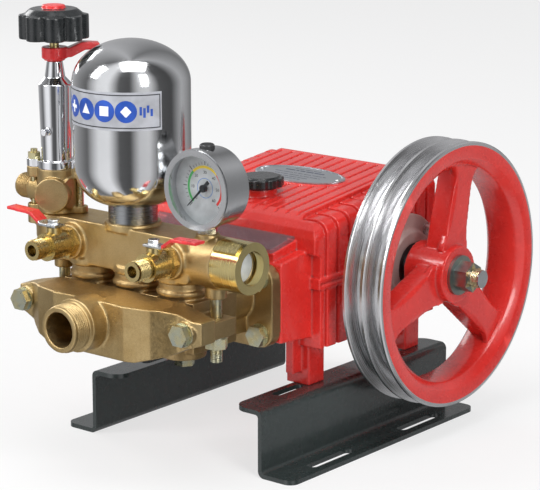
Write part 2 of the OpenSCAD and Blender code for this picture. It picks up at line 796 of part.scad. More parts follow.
module release_lever() color("#cc2a28") translate([reg_x, reg_y, 0]) rotate([0, 0, 50])
    difference() {
        union() {
            zcyl(11, 352, 362);
            zcyl(9, 350.2, 353);
            translate([0, 6, 0]) rotate([90, 0, 0]) linear_extrude(12) polygon([
                [0, 353], [14, 353], [26, 359], [33, 359], [36, 352], [34, 334], [33, 326],
                [39, 325], [41, 336], [43, 354], [38, 365], [24, 366], [12, 361], [0, 361]
            ]);
        }
        zcyl(4.4, 349, 364);
    }

// ---- Filler cap ----

module filler_cap_plug() color("#1b1d1f") translate([cap_x, cap_y, 0])
    zcyl(10.92, 208, 224.6);

module oil_filler_cap() color("#1b1d1f") translate([cap_x, cap_y, 0]) {
    translate([0, 0, 224.6]) linear_extrude(8) difference() {
        circle(r = 21);
        for (a = [0:30:330]) rotate([0, 0, a]) translate([24.6, 0]) circle(r = 5);
    }
    zcyl(17, 232, 234);
}

module cap_gasket() color("#303234") translate([cap_x, cap_y, 223]) ring(15.5, 11.2, 1.6);

// ---- Crank train ----

module crankshaft() color("#a8acb0") translate([0, crank_y, crank_z]) {
    difference() {
        union() {
            for (i = [1:3])
                translate([0, crank_dy(i), crank_dz(i)])
                    xcyl(pin_r, cylinder_x(i) - 10, cylinder_x(i) + 10);
            for (x = [-41, 9]) xcyl(22, x, x + 32);
            for (s = [0, 1]) xcyl(22, s ? 59 : -66, s ? 66 : -59);
            xcyl(journal_r + 3, -78, -65);
            xcyl(journal_r + 3, 65, 78);
            xcyl(journal_r, -95, -59);
            xcyl(journal_r, 59, 112);
            xcyl(12.5, 111, 160);
            xcyl(8, 159, 186);
            // Inner races of the two bearings
            xcyl(19.6, bearing_x, bearing_x + bearing_w);
            xcyl(19.6, -bearing_x - bearing_w, -bearing_x);
        }
        box(126, 158, -4, 4, 9, 14);
    }
}

module bearing_balls() color("#d8dadc") translate([0, crank_y, crank_z])
    for (x = [-bearing_x - 8, bearing_x + 8], k = [0:9])
        rotate([36 * k, 0, 0]) translate([x, 0, 23]) sphere(r = 3.2);

module conrod(i) color("#b0b3b5")
    translate([cylinder_x(i), crank_y + crank_dy(i), crank_z + crank_dz(i)]) {
        difference() {
            union() {
                xcyl(20, -8, 8);
                box(-5, 5, -rod_length, 0, -5, 5);
                translate([0, -rod_length, 0]) xcyl(7.5, -6, 6);
            }
            xcyl(pin_r + 0.05, -9, 9);
            translate([0, -rod_length, 0]) xcyl(4.5, -8, 8);
        }
        translate([0, -rod_length, 0]) xcyl(4.5, -10.5, 10.5);
    }

module plunger(i) color("#cfd2d4")
    translate([cylinder_x(i), gudgeon_y + crank_dy(i), crank_z]) {
        ycyl(plunger_r, -plunger_tip, -crosshead_front + 1);
        difference() {
            ycyl(crosshead_r, -crosshead_front, crosshead_rear);
            ycyl(17, -crosshead_front + 6, crosshead_rear + 1);
        }
    }

module conrod_1() conrod(1);

module conrod_2() conrod(2);

module conrod_3() conrod(3);

module plunger_1() plunger(1);

module plunger_2() plunger(2);

module plunger_3() plunger(3);

module suction_valve_1() suction_valve(1);

module suction_valve_2() suction_valve(2);

module suction_valve_3() suction_valve(3);

module discharge_valve_1() discharge_valve(1);

module discharge_valve_2() discharge_valve(2);

module discharge_valve_3() discharge_valve(3);

// ---- Pulley ----

// Half section of the rim: x across the width, y outwards
module rim_section() {
    pitch = 19;
    first = pulley_w / 2 - pitch * (belt_grooves - 1) / 2;
    difference() {
        translate([0, pulley_r - 21]) square([pulley_w, 21]);
        for (k = [0:belt_grooves - 1]) translate([first + k * pitch, pulley_r])
            polygon([[-8.3, 1], [8.3, 1], [4.4, -13], [-4.4, -13]]);
        translate([-1, pulley_r - 22]) polygon([[0, 0], [9, 0], [4, 6], [0, 6]]);
        translate([pulley_w + 1, pulley_r - 22]) polygon([[0, 0], [-9, 0], [-4, 6], [0, 6]]);
    }
}

module spoke() {
    // Web, then a raised rib along each edge
    translate([12, 0, 0]) rotate([90, 0, 90]) {
        linear_extrude(9) polygon([[-17, 14], [17, 14], [12, 102], [-12, 102]]);
        for (s = [-1, 1]) linear_extrude(20)
            polygon([[s * 17, 14], [s * 12, 14], [s * 8, 102], [s * 12, 102]]);
    }
}

module drive_pulley() color("#cc2f2a") translate([pulley_x, crank_y, crank_z]) difference() {
    union() {
        rotate([0, 90, 0]) rotate_extrude($fn = 128) translate([0, 0]) rotate(90)
            mirror([0, 1, 0]) rim_section();
        xcyl(26, -2, 40);
        for (k = [0:2]) rotate([-(spoke_angle + 120 * k), 0, 0]) spoke();
    }
    xcyl(12.52, -3, 42);
    box(5, 42, -4, 4, 9, 15.6);
}

module pulley_nut() color("#c9b45a") translate([0, crank_y, crank_z]) {
    difference() {
        union() {
            xcyl(18, 160, 163);
            translate([163, 0, 0]) rotate([0, 90, 0]) hex(24, 13);
        }
        xcyl(8, 160, 177);
    }
    box(126, 158, -4, 4, 9, 15.5);
}

left_rail();
right_rail();
hex_bolts_m10();
crankcase();
rear_cover();
cover_bolts();
bearing_cover_right();
bearing_cover_left();
bearing_outer_rings();
oil_seals();
oil_level_glass();
drain_plug();
plunger_window();
nameplate();
cylinder_block();
suction_manifold();
discharge_manifold();
manifold_studs();
plunger_packings();
gland_nuts();
valve_seats();
air_chamber();
chamber_collar();
gauge_case();
gauge_bezel();
gauge_dial();
gauge_lens();
gauge_pointer();
sight_glass_nut();
sight_glass_lens();
tap_bodies();
tap_lever_left();
tap_lever_right();
regulator_body();
regulator_studs();
regulator_barrel();
regulator_spring();
regulator_valve();
spring_seat();
pressure_knob();
release_lever();
oil_filler_cap();
filler_cap_plug();
cap_gasket();
crankshaft();
bearing_balls();
drive_pulley();
pulley_nut();
conrod_1();
conrod_2();
conrod_3();
plunger_1();
plunger_2();
plunger_3();
suction_valve_1();
suction_valve_2();
suction_valve_3();
discharge_valve_1();
discharge_valve_2();
discharge_valve_3();
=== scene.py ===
"""Looks of the belt-driven triplex pump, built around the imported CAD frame."""
import json
import math

import bmesh
import bpy
from mathutils import Matrix, Vector


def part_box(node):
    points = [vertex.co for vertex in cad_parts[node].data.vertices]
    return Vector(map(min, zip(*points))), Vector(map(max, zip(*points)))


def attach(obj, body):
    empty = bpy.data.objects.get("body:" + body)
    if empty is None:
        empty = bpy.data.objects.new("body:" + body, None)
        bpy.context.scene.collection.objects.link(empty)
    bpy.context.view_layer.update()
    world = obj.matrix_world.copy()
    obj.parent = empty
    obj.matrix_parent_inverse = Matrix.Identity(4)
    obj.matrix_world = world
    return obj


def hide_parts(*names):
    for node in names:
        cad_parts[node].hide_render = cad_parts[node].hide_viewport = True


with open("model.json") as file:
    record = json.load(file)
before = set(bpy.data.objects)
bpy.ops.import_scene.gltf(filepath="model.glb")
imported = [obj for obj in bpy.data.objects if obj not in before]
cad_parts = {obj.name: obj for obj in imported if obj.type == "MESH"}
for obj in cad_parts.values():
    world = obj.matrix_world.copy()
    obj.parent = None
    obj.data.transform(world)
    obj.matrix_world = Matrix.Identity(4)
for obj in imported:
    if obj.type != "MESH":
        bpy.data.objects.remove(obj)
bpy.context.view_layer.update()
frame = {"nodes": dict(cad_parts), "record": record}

FINE = 1.0
MM = 0.001
NODES = frame["nodes"]
BODY_OF = {n: body for body, names in frame["record"]["behaviour"]["bodies"].items() for n in names}


def corner(node):
    """Lowest and highest corner of a CAD node as vectors, in metres."""
    low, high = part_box(node)
    return Vector(low), Vector(high)


def middle(node):
    """Middle of a CAD node's box."""
    low, high = corner(node)
    return (low + high) / 2


# ---- Reference places, all from the frame ----

PULLEY = middle("drive_pulley")
PULLEY_LOW, PULLEY_HIGH = corner("drive_pulley")
PULLEY_R = (PULLEY_HIGH.z - PULLEY_LOW.z) / 2
CHAMBER = middle("air_chamber")
CHAMBER_LOW, CHAMBER_HIGH = corner("air_chamber")
CHAMBER_R = (CHAMBER_HIGH.x - CHAMBER_LOW.x) / 2
DIAL = middle("gauge_dial")
DIAL_R = (corner("gauge_dial")[1].x - corner("gauge_dial")[0].x) / 2
DIAL_FRONT = corner("gauge_dial")[0].y
KNOB = middle("pressure_knob")
PLUNGERS = [middle(f"plunger_{k}") for k in (1, 2, 3)]
CRANK = Vector((0, PULLEY.y, PULLEY.z))

CAMERA_AZIMUTH, CAMERA_ELEVATION = 39.1, 13.73
CAMERA_DISTANCE = 2.1114
CAMERA_TARGET = Vector((-0.0033, 0.0, 0.1647))
CAMERA_LENS_MM = 154.07


# ---- Material building blocks ----

class Paint:
    """A node material under construction, with its Principled shader ready."""

    def __init__(self, name, color, metallic=0.0, roughness=0.5, **sockets):
        self.mat = bpy.data.materials.new(name)
        self.mat.use_nodes = True
        self.tree = self.mat.node_tree
        self.shader = self.tree.nodes["Principled BSDF"]
        self.shader.inputs["Base Color"].default_value = (*color, 1)
        self.shader.inputs["Metallic"].default_value = metallic
        self.shader.inputs["Roughness"].default_value = roughness
        for socket, value in sockets.items():
            self.shader.inputs[socket.replace("_", " ")].default_value = value
        self.place = self.tree.nodes.new("ShaderNodeTexCoord").outputs["Object"]

    def node(self, kind, **inputs):
        made = self.tree.nodes.new(kind)
        for key, value in inputs.items():
            self.feed(made.inputs[key.replace("_", " ")], value)
        return made

    def feed(self, socket, value):
        if isinstance(value, bpy.types.NodeSocket):
            self.tree.links.new(value, socket)
        else:
            socket.default_value = value

    def noise(self, scale, detail=3.0, rough=0.55, place=None):
        made = self.node("ShaderNodeTexNoise", Vector=place or self.place, Scale=scale, Detail=detail,
                         Roughness=rough)
        return made.outputs["Fac"]

    def stretch(self, sx, sy, sz):
        made = self.node("ShaderNodeMapping", Vector=self.place, Scale=(sx, sy, sz))
        return made.outputs["Vector"]

    def ramp(self, value, low, high, a=0.0, b=1.0):
        made = self.node("ShaderNodeMapRange", Value=value)
        for key, number in (("From Min", low), ("From Max", high), ("To Min", a), ("To Max", b)):
            made.inputs[key].default_value = number
        return made.outputs["Result"]

    def mix(self, factor, a, b):
        made = self.tree.nodes.new("ShaderNodeMix")
        made.data_type = "RGBA"
        self.feed(made.inputs["Factor"], factor)
        for key, value in (("A", a), ("B", b)):
            socket = [s for s in made.inputs if s.name == key and s.type == "RGBA"][0]
            self.feed(socket, (*value, 1) if isinstance(value, tuple) and len(value) == 3 else value)
        return [s for s in made.outputs if s.type == "RGBA"][0]

    def color(self, socket):
        self.tree.links.new(socket, self.shader.inputs["Base Color"])

    def rough(self, value, low, high):
        self.tree.links.new(self.ramp(value, 0.3, 0.7, low, high), self.shader.inputs["Roughness"])

    def bump(self, height, strength, depth_mm, under=None):
        made = self.node("ShaderNodeBump", Strength=strength, Distance=depth_mm * MM, Height=height)
        if under is not None:
            self.tree.links.new(under, made.inputs["Normal"])
        self.tree.links.new(made.outputs["Normal"], self.shader.inputs["Normal"])
        return made.outputs["Normal"]

    def edges(self, low=0.52, high=0.6):
        """Near 1 along convex edges, or in hollows when high is below low."""
        made = self.tree.nodes.new("ShaderNodeNewGeometry")
        return self.ramp(made.outputs["Pointiness"], low, high)

    def radius(self, centre, axis):
        """Distance from an axis through centre, and the place along it."""
        keep = [0.0 if k == axis else 1.0 for k in range(3)]
        away = self.tree.nodes.new("ShaderNodeVectorMath")
        away.operation = "SUBTRACT"
        self.feed(away.inputs[0], self.place)
        away.inputs[1].default_value = centre
        flat = self.tree.nodes.new("ShaderNodeVectorMath")
        flat.operation = "MULTIPLY"
        self.feed(flat.inputs[0], away.outputs[0])
        flat.inputs[1].default_value = keep
        size = self.tree.nodes.new("ShaderNodeVectorMath")
        size.operation = "LENGTH"
        self.feed(size.inputs[0], flat.outputs[0])
        parts = self.node("ShaderNodeSeparateXYZ", Vector=self.place)
        return size.outputs["Value"], parts.outputs[axis]

    def turned_lines(self, centre, axis, scale):
        """Noise that is constant round an axis: lathe marks."""
        distance, along = self.radius(centre, axis)
        joined = self.node("ShaderNodeCombineXYZ", X=distance, Y=along)
        return self.noise(scale, 2.0, 0.7, joined.outputs[0])


def enamel(name, color, deep, orange_peel=1.0):
    """Glossy paint: painted shade darkens its corners and hollows, a painted highlight lightens its convex
    edges, with a slight orange peel.
    """
    p = Paint(name, color, 0.0, 0.22, Coat_Weight=0.55, Coat_Roughness=0.07)
    cloud = p.noise(22, 4)
    tone = p.mix(p.ramp(cloud, 0.35, 0.7), color, deep)
    # Painted highlight: convex edges take a lighter copy of the red.
    edge_highlighted = p.mix(p.edges(0.53, 0.62), tone, tuple(min(1, c * 1.18 + 0.02) for c in color))
    # Painted shade: hollows and creases fade towards a very dark copy of the deep red.
    p.color(p.mix(p.edges(0.485, 0.42), edge_highlighted, tuple(c * 0.22 for c in deep)))
    p.rough(p.noise(90, 3), 0.18, 0.34)
    wave = p.bump(p.noise(140, 2), 0.10 * orange_peel, 0.6)
    p.bump(p.noise(900, 2), 0.05 * orange_peel, 0.2, wave)
    return p.mat


def cast_metal(name, light, dark, rough_low, rough_high, grain=0.55, metallic=1.0, edge=1.25):
    """Sand-cast metal: stained and specked, with a painted highlight along its edges."""
    p = Paint(name, light, metallic, rough_low)
    stain = p.mix(p.ramp(p.noise(28, 5), 0.38, 0.68), light, dark)
    speck = p.mix(p.ramp(p.noise(1500, 2), 0.45, 0.75, 0, 0.45), stain, tuple(c * 0.55 for c in dark))
    # Painted highlight: convex edges take a copy of the light colour brightened by edge.
    p.color(p.mix(p.edges(0.525, 0.6), speck, tuple(min(1, c * edge) for c in light)))
    p.rough(p.noise(420, 3), rough_low, rough_high)
    pits = p.bump(p.noise(780, 4, 0.65), grain, 0.35)
    p.bump(p.noise(120, 3), 0.25, 0.6, pits)
    return p.mat


def turned_metal(name, color, centre, axis, rough_low=0.14, rough_high=0.3):
    """Lathe marks round an axis through centre."""
    p = Paint(name, color, 1.0, rough_low)
    lines = p.turned_lines(centre, axis, 1400)
    p.color(p.mix(p.ramp(p.noise(35, 4), 0.4, 0.7), color, tuple(c * 0.82 for c in color)))
    p.rough(lines, rough_low, rough_high)
    p.bump(lines, 0.1, 0.12)
    return p.mat


def plated(name, color, tint, third, rough=0.3):
    """Passivated zinc: soft clouds of two tints over a fine grain."""
    p = Paint(name, color, 1.0, rough)
    first = p.mix(p.ramp(p.noise(110, 3), 0.4, 0.65), color, tint)
    p.color(p.mix(p.ramp(p.noise(63, 2), 0.5, 0.75), first, third))
    p.rough(p.noise(300, 3), rough - 0.08, rough + 0.14)
    p.bump(p.noise(1600, 2), 0.12, 0.1)
    return p.mat


def polished(name, color, rough_low, rough_high, brush=(3, 3, 60), strength=0.05):
    """Polished metal; brush stretches the streaks along X, Y and Z."""
    p = Paint(name, color, 1.0, rough_low)
    streak = p.noise(14, 5, 0.7, p.stretch(*brush))
    p.rough(streak, rough_low, rough_high)
    p.color(p.mix(p.ramp(p.noise(18, 4), 0.35, 0.75), color, tuple(c * 0.9 for c in color)))
    p.bump(streak, strength, 0.12)
    return p.mat


def moulded(name, color, rough=0.38, grain=0.15, scale=1100, **sockets):
    """Plastic, rubber, ink or sticker film with a fine grain."""
    p = Paint(name, color, 0.0, rough, **sockets)
    p.color(p.mix(p.ramp(p.noise(60, 3), 0.35, 0.75), color, tuple(c * 1.5 + 0.004 for c in color)))
    p.rough(p.noise(240, 3), rough - 0.07, rough + 0.1)
    p.bump(p.noise(scale, 3), grain, 0.15)
    return p.mat


def clear(name, tint, gloss_rough, body, gloss_extra):
    """Clear sheet: fresnel gloss over a see-through tint with a faint haze."""
    mat = bpy.data.materials.new(name)
    mat.use_nodes = True
    tree = mat.node_tree
    tree.nodes.clear()
    make = tree.nodes.new
    out = make("ShaderNodeOutputMaterial")
    see = make("ShaderNodeBsdfTransparent")
    see.inputs["Color"].default_value = (*tint, 1)
    gloss = make("ShaderNodeBsdfPrincipled")
    gloss.inputs["Base Color"].default_value = (*body, 1)
    gloss.inputs["Roughness"].default_value = gloss_rough
    place = make("ShaderNodeTexCoord")
    noise = make("ShaderNodeTexNoise")
    noise.inputs["Scale"].default_value = 160
    dent = make("ShaderNodeBump")
    dent.inputs["Strength"].default_value = 0.05
    dent.inputs["Distance"].default_value = 0.2 * MM
    view = make("ShaderNodeFresnel")
    view.inputs["IOR"].default_value = 1.5
    more = make("ShaderNodeMath")
    more.operation = "MULTIPLY_ADD"
    more.inputs[1].default_value = 0.9
    more.inputs[2].default_value = gloss_extra
    side = make("ShaderNodeNewGeometry")
    front = make("ShaderNodeMath")
    front.operation = "SUBTRACT"
    front.inputs[0].default_value = 1.0
    front.use_clamp = True
    kept = make("ShaderNodeMath")
    kept.operation = "MULTIPLY"
    kept.use_clamp = True
    both = make("ShaderNodeMixShader")
    link = tree.links.new
    link(side.outputs["Backfacing"], front.inputs[1])
    link(front.outputs[0], kept.inputs[1])
    link(place.outputs["Object"], noise.inputs["Vector"])
    link(noise.outputs["Fac"], dent.inputs["Height"])
    link(dent.outputs["Normal"], gloss.inputs["Normal"])
    link(view.outputs[0], more.inputs[0])
    link(more.outputs[0], kept.inputs[0])
    link(kept.outputs[0], both.inputs[0])
    link(see.outputs[0], both.inputs[1])
    link(gloss.outputs[0], both.inputs[2])
    link(both.outputs[0], out.inputs["Surface"])
    return mat


RED = enamel("red_enamel", (0.74, 0.034, 0.026), (0.62, 0.024, 0.020))
RED_COVER = enamel("red_cover_enamel", (0.70, 0.031, 0.024), (0.58, 0.022, 0.018))
RAIL = enamel("rail_enamel", (0.012, 0.021, 0.020), (0.007, 0.012, 0.012), 0.8)
CAST_BRASS = cast_metal("cast_brass", (0.64, 0.48, 0.24), (0.48, 0.33, 0.14), 0.34, 0.52)
BLOCK_BRASS = cast_metal("block_brass", (0.57, 0.41, 0.20), (0.40, 0.27, 0.12), 0.38, 0.56)
PINK_CAST = cast_metal("cover_casting", (0.50, 0.40, 0.375), (0.40, 0.31, 0.29), 0.45, 0.65, 0.4, 0.35)
ALU_CAST = cast_metal("rod_casting", (0.62, 0.63, 0.64), (0.48, 0.49, 0.5), 0.35, 0.5, 0.3)
TURNED_BRASS = turned_metal("turned_brass", (0.80, 0.66, 0.30), middle("sight_glass_nut"), 0)
TAP_BRASS = polished("tap_brass", (0.74, 0.58, 0.26), 0.22, 0.34, (20, 20, 20), 0.02)
SEAT_BRASS = turned_metal("stem_brass", (0.62, 0.52, 0.24), middle("spring_seat"), 2, 0.2, 0.34)
RIM_STEEL = turned_metal("machined_rim", (0.80, 0.80, 0.81), CRANK, 0, 0.16, 0.34)
SHAFT_STEEL = turned_metal("ground_shaft", (0.62, 0.63, 0.64), CRANK, 0, 0.14, 0.26)
PLUNGER_STEEL = polished("plunger_steel", (0.74, 0.75, 0.77), 0.08, 0.2, (60, 3, 60))
STAINLESS = polished("polished_stainless", (0.70, 0.71, 0.72), 0.07, 0.17, (3, 3, 60))
GAUGE_STEEL = polished("gauge_stainless", (0.66, 0.67, 0.68), 0.12, 0.24, (6, 60, 6))
CHROME = polished("chrome", (0.80, 0.81, 0.83), 0.035, 0.1, (5, 5, 5), 0.02)
DARK_STEEL = turned_metal("collar_steel", (0.30, 0.31, 0.32), CHAMBER, 2, 0.22, 0.36)
ZINC = plated("zinc_plate", (0.60, 0.60, 0.44), (0.68, 0.60, 0.34), (0.50, 0.55, 0.50))
YELLOW_ZINC = plated("yellow_zinc", (0.70, 0.60, 0.32), (0.62, 0.62, 0.40), (0.72, 0.50, 0.34), 0.26)
WASHER_ZINC = plated("washer_zinc", (0.34, 0.37, 0.35), (0.40, 0.42, 0.36), (0.30, 0.33, 0.34), 0.36)
WHITE_ZINC = plated("white_zinc", (0.66, 0.68, 0.70), (0.58, 0.60, 0.63), (0.70, 0.70, 0.66), 0.28)
RUBBER = moulded("black_rubber", (0.018, 0.018, 0.019), 0.6, 0.25)
BLACK = moulded("black_phenolic", (0.012, 0.014, 0.015), 0.27, 0.08, 1300, Coat_Weight=0.3)
VINYL = moulded("red_vinyl", (0.58, 0.022, 0.024), 0.3, 0.1, 700, Coat_Weight=0.35)
CAP_RED = moulded("knob_red", (0.62, 0.03, 0.03), 0.3, 0.06, 900, Coat_Weight=0.3)
DIAL_WHITE = moulded("dial_white", (0.50, 0.51, 0.52), 0.45, 0.02, 1500)
DIAL_BLACK = moulded("dial_black", (0.015, 0.016, 0.018), 0.5, 0.02, 1500)
DIAL_GREEN = moulded("dial_green", (0.08, 0.42, 0.12), 0.5, 0.02, 1500)
DIAL_YELLOW = moulded("dial_yellow", (0.85, 0.62, 0.05), 0.5, 0.02, 1500)
DIAL_RED = moulded("dial_red", (0.7, 0.04, 0.03), 0.5, 0.02, 1500)
DIAL_BLUE = moulded("dial_blue", (0.05, 0.2, 0.55), 0.5, 0.02, 1500)
LABEL_GREY = moulded("label_grey", (0.36, 0.37, 0.40), 0.42, 0.03, 900)
LABEL_BLUE = moulded("label_blue", (0.014, 0.07, 0.38), 0.4, 0.03, 900)
LABEL_WHITE = moulded("label_white", (0.82, 0.83, 0.85), 0.42, 0.03, 900)
FLOAT_WHITE = moulded("float_white", (0.60, 0.62, 0.63), 0.5, 0.05, 700)
PLATE = polished("plate_aluminium", (0.62, 0.64, 0.67), 0.28, 0.42, (4, 60, 4), 0.05)
PLATE_INK = moulded("plate_ink", (0.05, 0.06, 0.09), 0.5, 0.03, 1200)
LENS = clear("gauge_lens_glass", (0.97, 0.98, 0.98), 0.03, (0.1, 0.1, 0.1), -0.02)
WINDOW = clear("window_acrylic", (0.80, 0.83, 0.86), 0.08, (0.35, 0.38, 0.42), 0.1)

CAD_LOOKS = {
    "left_rail": RAIL, "right_rail": RAIL, "hex_bolts_m10": ZINC, "crankcase": RED,
    "rear_cover": RED_COVER, "cover_bolts": WHITE_ZINC, "bearing_cover_right": PINK_CAST,
    "bearing_cover_left": PINK_CAST, "bearing_outer_rings": SHAFT_STEEL, "oil_seals": RUBBER,
    "oil_level_glass": WINDOW, "drain_plug": WHITE_ZINC, "plunger_window": WINDOW,
    "nameplate": PLATE, "cylinder_block": BLOCK_BRASS, "suction_manifold": CAST_BRASS,
    "discharge_manifold": CAST_BRASS, "manifold_studs": ZINC, "plunger_packings": RUBBER,
    "gland_nuts": TAP_BRASS, "valve_seats": PLUNGER_STEEL, "air_chamber": STAINLESS,
    "chamber_collar": DARK_STEEL, "gauge_case": GAUGE_STEEL, "gauge_bezel": GAUGE_STEEL,
    "gauge_dial": DIAL_WHITE, "gauge_lens": LENS, "gauge_pointer": DIAL_BLACK,
    "sight_glass_nut": TURNED_BRASS, "sight_glass_lens": LENS, "tap_bodies": TAP_BRASS,
    "tap_lever_left": VINYL, "tap_lever_right": VINYL, "regulator_body": CAST_BRASS,
    "regulator_studs": YELLOW_ZINC, "regulator_barrel": CHROME, "regulator_spring": WHITE_ZINC,
    "regulator_valve": PLUNGER_STEEL, "spring_seat": SEAT_BRASS, "pressure_knob": BLACK,
    "release_lever": VINYL, "oil_filler_cap": BLACK, "filler_cap_plug": BLACK,
    "cap_gasket": RUBBER,
    "crankshaft": SHAFT_STEEL, "bearing_balls": PLUNGER_STEEL, "drive_pulley": RED,
    "pulley_nut": YELLOW_ZINC,
}
for k in (1, 2, 3):
    CAD_LOOKS[f"conrod_{k}"] = ALU_CAST
    CAD_LOOKS[f"plunger_{k}"] = PLUNGER_STEEL
    CAD_LOOKS[f"suction_valve_{k}"] = PLUNGER_STEEL
    CAD_LOOKS[f"discharge_valve_{k}"] = PLUNGER_STEEL


def dress(ob, mat):
    """Gives an object this one material."""
    ob.data.materials.clear()
    ob.data.materials.append(mat)


def soften(ob, width_mm):
    """Small edge rounds that catch the light."""
    cut = ob.modifiers.new("edge_round", "BEVEL")
    cut.width = width_mm * MM
    cut.segments = 2
    cut.limit_method = "ANGLE"
    cut.angle_limit = math.radians(32)
    cut.harden_normals = False
    cut.use_clamp_overlap = True


for name, mat in CAD_LOOKS.items():
    dress(NODES[name], mat)


# ---- Mesh building blocks ----

def piece(name, verts, faces, mat, body, smooth=True, crease=35):
    """A new visible mesh that rides with a body; crease is the sharp-edge angle in degrees."""
    mesh = bpy.data.meshes.new(name)
    mesh.from_pydata([tuple(v) for v in verts], [], faces)
    mesh.validate()
    work = bmesh.new()
    work.from_mesh(mesh)
    bmesh.ops.recalc_face_normals(work, faces=work.faces)
    work.to_mesh(mesh)
    work.free()
    ob = bpy.data.objects.new(name, mesh)
    bpy.context.scene.collection.objects.link(ob)
    if smooth:
        mesh.shade_smooth()
        mesh.set_sharp_from_angle(angle=math.radians(crease))
    dress(ob, mat)
    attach(ob, body)
    return ob


def frame_of(axis):
    """Columns: two across directions and the axis itself."""
    axis = Vector(axis).normalized()
    side = Vector((0, 0, 1)) if abs(axis.z) < 0.9 else Vector((1, 0, 0))
    a = side.cross(axis).normalized()
    b = axis.cross(a)
    return a, b, axis


def lathe(name, profile, centre, axis, mat, body, segments=96, closed=True, **kw):
    """Revolves (radius, along) points in mm about an axis through centre."""
    a, b, n = frame_of(axis)
    verts, faces = [], []
    count = len(profile)
    for k in range(segments):
        t = 2 * math.pi * k / segments
        out = a * math.cos(t) + b * math.sin(t)
        verts += [Vector(centre) + (out * r + n * s) * MM for r, s in profile]
    span = count if closed else count - 1
    for k in range(segments):
        base, other = k * count, ((k + 1) % segments) * count
        for i in range(span):
            j = (i + 1) % count
            faces.append((base + i, base + j, other + j, other + i))
    ob = piece(name, verts, faces, mat, body, **kw)
    work = bmesh.new()
    work.from_mesh(ob.data)
    bmesh.ops.remove_doubles(work, verts=work.verts, dist=1e-7)
    bmesh.ops.recalc_face_normals(work, faces=work.faces)
    work.to_mesh(ob.data)
    work.free()
    return ob


def casting(node, name, mat, voxel_mm, rounds, body=None, blocks=()):
    """A cast copy of a CAD node: remeshed, then relaxed so edges and corners fillet.
    blocks: outlines with their place and thickness in mm that are cast in one with it."""
    source = NODES[node]
    ob = bpy.data.objects.new(name, source.data.copy())
    bpy.context.scene.collection.objects.link(ob)
    ob.matrix_world = source.matrix_world.copy()
    home = ob.matrix_world.inverted()
    work = bmesh.new()
    work.from_mesh(ob.data)
    for outline, place, thick_mm in blocks:
        rows = [[work.verts.new(home @ place @ Vector((x * MM, y * MM, z * MM))) for x, y in outline]
                for z in (0, thick_mm)]
        made = [work.faces.new(rows[0][::-1]), work.faces.new(rows[1])]
        for i in range(len(outline)):
            j = (i + 1) % len(outline)
            made.append(work.faces.new((rows[0][i], rows[0][j], rows[1][j], rows[1][i])))
        bmesh.ops.recalc_face_normals(work, faces=made)
    work.to_mesh(ob.data)
    work.free()
    mesher = ob.modifiers.new("voxels", "REMESH")
    mesher.mode = "VOXEL"
    mesher.voxel_size = voxel_mm * MM
    relax = ob.modifiers.new("relax", "SMOOTH")
    relax.factor = 0.5
    relax.iterations = rounds
    done = bpy.data.meshes.new_from_object(ob.evaluated_get(bpy.context.evaluated_depsgraph_get()))
    ob.modifiers.clear()
    ob.data = done
    ob.data.transform(ob.matrix_world)
    ob.matrix_world = Matrix()
    ob.data.shade_smooth()
    dress(ob, mat)
    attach(ob, body or BODY_OF[node])
    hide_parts(node)
    return ob


def second_finish(ob, mat, test):
    """Faces whose centre passes the test take a second material."""
    ob.data.materials.append(mat)
    slot = len(ob.data.materials) - 1
    for face in ob.data.polygons:
        if test(face.center, face.normal):
            face.material_index = slot


def trim(ob, keep):
    """Deletes vertices that fail the test and closes the cut."""
    work = bmesh.new()
    work.from_mesh(ob.data)
    bmesh.ops.delete(work, geom=[v for v in work.verts if not keep(v.co)], context="VERTS")
    bmesh.ops.holes_fill(work, edges=[e for e in work.edges if e.is_boundary], sides=0)
    work.to_mesh(ob.data)
    work.free()


def thread(name, centre, axis, radius_mm, length_mm, pitch_mm, mat, body, depth_mm):
    """Male thread: a helical ridge over a spigot, starting at centre and running along axis."""
    a, b, n = frame_of(axis)
    around, per_pitch = 64, 8
    rows = int(length_mm / pitch_mm * per_pitch) + 1
    verts, faces = [], []
    for i in range(rows):
        along = i * pitch_mm / per_pitch
        fade = min(1, along / pitch_mm, (length_mm - along) / pitch_mm)
        for k in range(around):
            turn = (along / pitch_mm - k / around) % 1
            height = max(0.0, 1 - abs(turn - 0.5) * 2.6)
            t = 2 * math.pi * k / around
            r = radius_mm - 0.1 + depth_mm * max(0, fade) * min(1, height * 1.25)
            verts.append(Vector(centre) + ((a * math.cos(t) + b * math.sin(t)) * r + n * along) * MM)
    for i in range(rows - 1):
        for k in range(around):
            j = (k + 1) % around
            faces.append((i * around + k, i * around + j, (i + 1) * around + j, (i + 1) * around + k))
    return piece(name, verts, faces, mat, body, crease=60)


def strip(name, sections, mat, body):
    """A closed thin strip through sections of four corners each."""
    last = len(sections) - 1
    faces = []
    for k in range(last):
        for i in range(4):
            j = (i + 1) % 4
            faces.append((4 * k + i, 4 * k + j, 4 * k + 4 + j, 4 * k + 4 + i))
    faces += [(0, 1, 2, 3), tuple(4 * last + i for i in (3, 2, 1, 0))]
    return piece(name, [corner_at for section in sections for corner_at in section], faces, mat, body)


def chamber_section(t, low, high, lift_mm):
    """Four corners of a sticker at angle t: its back lies just under the chamber's wall."""
    out = Vector((math.cos(t), math.sin(t), 0))
    axis = Vector((CHAMBER.x, CHAMBER.y, 0))
    return [axis + out * (CHAMBER_R + lift * MM) + Vector((0, 0, z))
            for lift, z in ((-0.2, low), (lift_mm, low), (lift_mm, high), (-0.2, high))]


def chamber_band(name, low, high, start, end, mat, lift_mm):
    """A sticker strip round the chamber between two heights and two angles."""
    steps = 120
    sections = [chamber_section(start + (end - start) * k / steps, low, high, lift_mm)
                for k in range(steps + 1)]
    return strip(name, sections, mat, "root")


